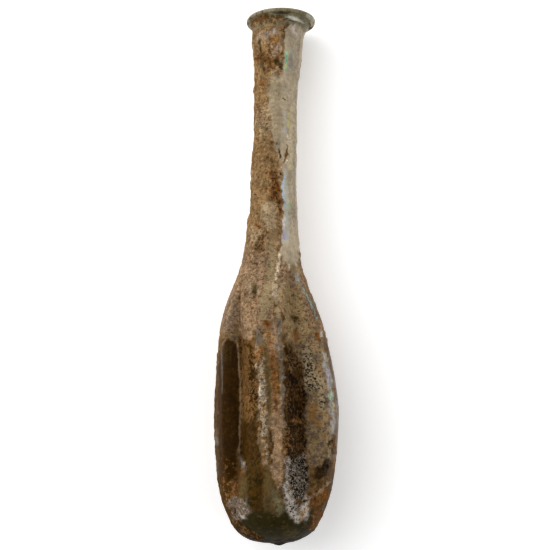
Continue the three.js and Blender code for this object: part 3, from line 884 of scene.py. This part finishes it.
class Nodes:
    """Short ways to add and join shader nodes."""

    def __init__(self, material):
        material.use_nodes = True
        self.tree = material.node_tree
        self.tree.nodes.clear()

    def add(self, kind, values=(), **settings):
        node = self.tree.nodes.new(kind)
        for name, value in settings.items():
            setattr(node, name, value)
        for name, value in dict(values).items():
            self.set(node.inputs[name], value)
        return node

    def set(self, socket, value):
        if isinstance(value, bpy.types.NodeSocket):
            self.tree.links.new(value, socket)
        elif isinstance(value, tuple) and len(value) == 3 and socket.type == "RGBA":
            socket.default_value = (*value, 1)
        else:
            socket.default_value = value

    def math(self, operation, a, b=0.0, clamp=False):
        node = self.add("ShaderNodeMath", operation=operation, use_clamp=clamp)
        self.set(node.inputs[0], a)
        self.set(node.inputs[1], b)
        return node.outputs[0]

    def step(self, value, low, high, out_low=0.0, out_high=1.0):
        node = self.add("ShaderNodeMapRange", interpolation_type="SMOOTHSTEP")
        for name, given in zip(("Value", "From Min", "From Max", "To Min", "To Max"),
                               (value, low, high, out_low, out_high)):
            self.set(node.inputs[name], given)
        return node.outputs["Result"]

    def blend(self, share, a, b, how="MIX"):
        node = self.add("ShaderNodeMix", data_type="RGBA", blend_type=how)
        self.set(node.inputs["Factor"], share)
        self.set(node.inputs["A"], a)
        self.set(node.inputs["B"], b)
        return node.outputs["Result"]

    def scale(self, colour, amount):
        node = self.add("ShaderNodeVectorMath", operation="SCALE")
        self.set(node.inputs[0], colour)
        self.set(node.inputs["Scale"], amount)
        return node.outputs["Vector"]

    def noise(self, where, size, detail=3.0, roughness=0.6):
        """Noise with features of a size in millimetres."""
        values = {"Vector": where, "Scale": 1 / (size * MM), "Detail": detail, "Roughness": roughness}
        return self.add("ShaderNodeTexNoise", values).outputs["Fac"]

    def grains(self, where, size):
        """Distance from the nearest of many grains about a size in millimetres apart."""
        values = {"Vector": where, "Scale": 1 / (size * MM)}
        return self.add("ShaderNodeTexVoronoi", values).outputs["Distance"]

    def attribute(self, name, output="Fac"):
        return self.add("ShaderNodeAttribute", attribute_name=name).outputs[output]


FILM_TONES = [
    (0.0, (0.30, 0.25, 0.35)), (0.36, (0.41, 0.29, 0.30)), (0.46, (0.51, 0.43, 0.18)),
    (0.54, (0.22, 0.41, 0.31)), (0.62, (0.27, 0.35, 0.49)), (0.8, (0.41, 0.35, 0.43)),
]


def weathered_glass():
    material = bpy.data.materials.new("weathered_glass")
    n = Nodes(material)
    where = n.add("ShaderNodeTexCoord").outputs["Object"]
    drawn = n.add("ShaderNodeMapping", {"Vector": where, "Scale": (1, 0.55, 1)}).outputs[0]
    wide, grit = n.noise(drawn, 2.6, 4), n.noise(where, 0.9, 4, 0.65)
    fine = n.noise(where, 0.32, 3, 0.7)
    gloss = n.attribute("gloss")
    matt = n.math("SUBTRACT", 1.0, gloss)

    # The second tone covers the first in ragged patches.
    patches = n.noise(where, 1.2, 5, 0.70)
    line = n.math("SUBTRACT", 0.70, n.math("MULTIPLY", n.attribute("cover"), 0.40))
    patch = n.step(n.math("SUBTRACT", patches, line), -0.02, 0.03)
    second = n.attribute("second_tone", "Color")
    tone = n.blend(patch, n.attribute("tone", "Color"), second)

    # Tone: mottled at three sizes in the crust, more even where the glass shines.
    vary = n.math("MULTIPLY", n.step(wide, 0.3, 0.7, 0.80, 1.22), n.step(grit, 0.3, 0.7, 0.58, 1.42))
    vary = n.math("MULTIPLY", vary, n.step(fine, 0.3, 0.7, 0.76, 1.24))
    calm = n.math("MULTIPLY", n.step(wide, 0.3, 0.7, 0.84, 1.16), n.step(grit, 0.3, 0.7, 0.88, 1.12))
    vary = n.math("ADD", n.math("MULTIPLY", vary, matt), n.math("MULTIPLY", calm, gloss))
    tone = n.scale(tone, vary)

    # Dark specks and pits, branching and worm-like.
    speckle = n.attribute("speckle")
    spots = n.noise(where, 0.7, 4, 0.72)
    line = n.math("SUBTRACT", 0.70, n.math("MULTIPLY", speckle, 0.20))
    speck = n.step(n.math("SUBTRACT", spots, line), -0.015, 0.025)
    speck = n.math("MULTIPLY", speck, n.step(speckle, 0.0, 0.15))
    tone = n.blend(n.math("MULTIPLY", speck, 0.85), tone, n.scale(second, 0.20))

    # Small round dark spots, darkened towards the second tone.
    reach = n.math("ADD", 0.12, n.math("MULTIPLY", speckle, 0.16))
    round_spot = n.step(n.math("SUBTRACT", reach, n.grains(where, 0.9)), -0.02, 0.03)
    round_spot = n.math("MULTIPLY", round_spot, n.step(speckle, 0.0, 0.15))
    tone = n.blend(n.math("MULTIPLY", round_spot, 0.85), tone, n.scale(second, 0.38))

    # Pale crumbs, with thin curled flakes among them where they lie thickest.
    crumbs = n.noise(where, 0.5, 3, 0.6)
    line = n.math("SUBTRACT", 0.72, n.math("MULTIPLY", n.attribute("crumb"), 0.18))
    crumb = n.step(n.math("SUBTRACT", crumbs, line), -0.01, 0.04)
    crumb = n.math("MULTIPLY", crumb, n.step(n.attribute("crumb"), 0.0, 0.2))
    curl = n.math("ABSOLUTE", n.math("SUBTRACT", n.noise(where, 0.9, 2, 0.5), 0.5))
    curl = n.step(curl, 0.012, 0.035, 1.0, 0.0)
    curl = n.math("MULTIPLY", curl, n.step(n.attribute("crumb"), 0.30, 0.60))
    crumb = n.math("MAXIMUM", crumb, curl)
    pale = n.blend(n.step(n.attribute("crumb"), 0.35, 0.75), n.scale(tone, 2.3), CREAM_BRIGHT)
    tone = n.blend(n.math("MULTIPLY", crumb, 0.9), tone, pale)

    # Iridescent film, in patches of pastel tones.
    ramp = n.add("ShaderNodeValToRGB", {"Fac": n.noise(where, 1.8, 2)})
    ramp.color_ramp.elements[0].color = (*FILM_TONES[0][1], 1)
    ramp.color_ramp.elements[1].color = (*FILM_TONES[-1][1], 1)
    for place, colour in FILM_TONES[1:]:
        ramp.color_ramp.elements.new(place).color = (*colour, 1)
    film = n.math("ADD", n.attribute("film"), n.math("MULTIPLY", n.math("SUBTRACT", grit, 0.5), 1.2))
    filmed = n.step(film, 0.4, 0.75)
    tone = n.blend(n.math("MULTIPLY", filmed, 0.75), tone, ramp.outputs["Color"])

    rough = n.math("ADD", n.math("MULTIPLY", matt, 0.62), n.step(grit, 0.3, 0.7, 0.20, 0.32))
    rough = n.math("SUBTRACT", rough, n.math("MULTIPLY", filmed, 0.25), clamp=True)
    rough = n.math("MULTIPLY", rough, n.step(speck, 0.0, 1.0, 1.0, 0.55))
    lidded = n.math("MULTIPLY", n.math("SUBTRACT", 1.0, speck), n.math("SUBTRACT", 1.0, patch))
    clear = n.math("MULTIPLY", n.attribute("clear"), lidded)

    hills = n.math("ADD", n.math("MULTIPLY", grit, 0.6), n.math("MULTIPLY", fine, 0.35))
    hills = n.math("MULTIPLY", hills, n.math("ADD", n.math("MULTIPLY", matt, 0.9), 0.10))
    hills = n.math("SUBTRACT", hills, n.math("MULTIPLY", speck, 0.25))
    hills = n.math("ADD", hills, n.math("MULTIPLY", crumb, 0.3))
    bump = n.add("ShaderNodeBump", {"Height": hills, "Strength": 0.8, "Distance": 0.25 * MM})

    shader = n.add("ShaderNodeBsdfPrincipled", {
        "Base Color": tone, "Roughness": rough, "Transmission Weight": clear, "Normal": bump.outputs[0],
        "IOR": 1.5, "Specular IOR Level": 0.04,
    })
    output = n.add("ShaderNodeOutputMaterial")
    n.tree.links.new(shader.outputs[0], output.inputs["Surface"])
    return material


# ---------------------------------------------------------------------------------------------
# Floor, light and camera
# ---------------------------------------------------------------------------------------------


def plain_material(name, colour, roughness, glow):
    material = bpy.data.materials.new(name)
    material.use_nodes = True
    shader = material.node_tree.nodes["Principled BSDF"]
    shader.inputs["Base Color"].default_value = (*colour, 1)
    shader.inputs["Roughness"].default_value = roughness
    shader.inputs["Specular IOR Level"].default_value = 0.0
    shader.inputs["Emission Color"].default_value = (1, 1, 1, 1)
    shader.inputs["Emission Strength"].default_value = glow
    return material


FLOOR_TONE, FLOOR_ROUGHNESS, FLOOR_GLOW = (0.95, 0.95, 0.95), 0.9, 0.26


def lay_floor():
    half = 1.5
    mesh = bpy.data.meshes.new("floor")
    corners = [(-half, -half, 0), (half, -half, 0), (half, half, 0), (-half, half, 0)]
    mesh.from_pydata(corners, [], [(0, 1, 2, 3)])
    mesh.materials.append(plain_material("pale_floor", FLOOR_TONE, FLOOR_ROUGHNESS, FLOOR_GLOW))
    floor = bpy.data.objects.new("floor", mesh)
    bpy.context.scene.collection.objects.link(floor)


def hang_light(name, place, aim, size, power):
    light = bpy.data.lights.new(name, "AREA")
    light.shape, light.size, light.energy = "DISK", size, power
    lamp = bpy.data.objects.new(name, light)
    lamp.location = place
    lamp.rotation_euler = (Vector(aim) - Vector(place)).to_track_quat("-Z", "Y").to_euler()
    bpy.context.scene.collection.objects.link(lamp)


# The room is bright near the horizon and dim straight above, as under a ring of soft lamps. It is
# brighter on the left than on the right, and darker beyond the foot, where the glass reflects it.
ROOM_STRENGTH, ROOM_TOP_STRENGTH = 1.22, 0.14
ROOM_LEFT, ROOM_RIGHT = 1.30, 0.70
ROOM_FOOT, ROOM_MOUTH = 0.50, 1.15
FILM_GAMMA = 0.87


def fade_between(nodes, links, source, ends, values, how="LINEAR"):
    """A value that goes from the first of two values to the second as the source goes from one
    end to the other."""
    node = nodes.new("ShaderNodeMapRange")
    node.interpolation_type = how
    for name, value in zip(("From Min", "From Max", "To Min", "To Max"), (*ends, *values)):
        node.inputs[name].default_value = value
    links.new(source, node.inputs["Value"])
    return node.outputs["Result"]


def light_studio():
    scene = bpy.context.scene
    world = bpy.data.worlds.new("soft_white_room")
    world.use_nodes = True
    nodes, links = world.node_tree.nodes, world.node_tree.links
    sky = nodes.new("ShaderNodeTexCoord")
    split = nodes.new("ShaderNodeSeparateXYZ")
    links.new(sky.outputs["Generated"], split.inputs[0])
    across, along_flask, upwards = (split.outputs[axis] for axis in "XYZ")
    tops = (ROOM_STRENGTH, ROOM_TOP_STRENGTH)
    strength = fade_between(nodes, links, upwards, (0.55, 0.92), tops, "SMOOTHSTEP")
    side = fade_between(nodes, links, across, (-0.7, 0.7), (ROOM_LEFT, ROOM_RIGHT))
    end = fade_between(nodes, links, along_flask, (-0.7, 0.1), (ROOM_FOOT, ROOM_MOUTH))
    for factor in (side, end):
        product = nodes.new("ShaderNodeMath")
        product.operation = "MULTIPLY"
        links.new(strength, product.inputs[0])
        links.new(factor, product.inputs[1])
        strength = product.outputs[0]
    links.new(strength, nodes["Background"].inputs["Strength"])
    nodes["Background"].inputs["Color"].default_value = (1, 1, 1, 1)
    scene.world = world
    scene.view_settings.view_transform = "Standard"
    scene.view_settings.gamma = FILM_GAMMA
    middle = (0, 0, 0.015)
    hang_light("key", (-0.40, 0.22, 0.68), middle, 0.85, 2.9)
    hang_light("fill", (0.50, -0.25, 0.50), middle, 0.45, 0.8)


CAMERA_TILT = math.radians(10.5)
CAMERA_DISTANCE = 0.45
CAMERA_AIM = Vector((0, 0, 0.014))
CAMERA_SHIFT_RIGHT, CAMERA_SHIFT_UP = -0.41 * MM, -0.97 * MM
CAMERA_LENS = 106.4


def place_camera():
    camera = bpy.data.objects.new("camera", bpy.data.cameras.new("camera"))
    back = Vector((0, -math.sin(CAMERA_TILT), math.cos(CAMERA_TILT)))
    up = Vector((0, math.cos(CAMERA_TILT), math.sin(CAMERA_TILT)))
    camera.location = CAMERA_AIM + back * CAMERA_DISTANCE + up * CAMERA_SHIFT_UP
    camera.location.x += CAMERA_SHIFT_RIGHT
    camera.rotation_euler = (CAMERA_TILT, 0, 0)
    camera.data.lens, camera.data.sensor_width = CAMERA_LENS, 36
    camera.data.clip_start, camera.data.clip_end = 0.01, 10
    bpy.context.scene.collection.objects.link(camera)
    bpy.context.scene.camera = camera


place_camera()
lay_floor()
light_studio()
flask = build_flask(weathered_glass())
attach(flask, "root")
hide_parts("flask")
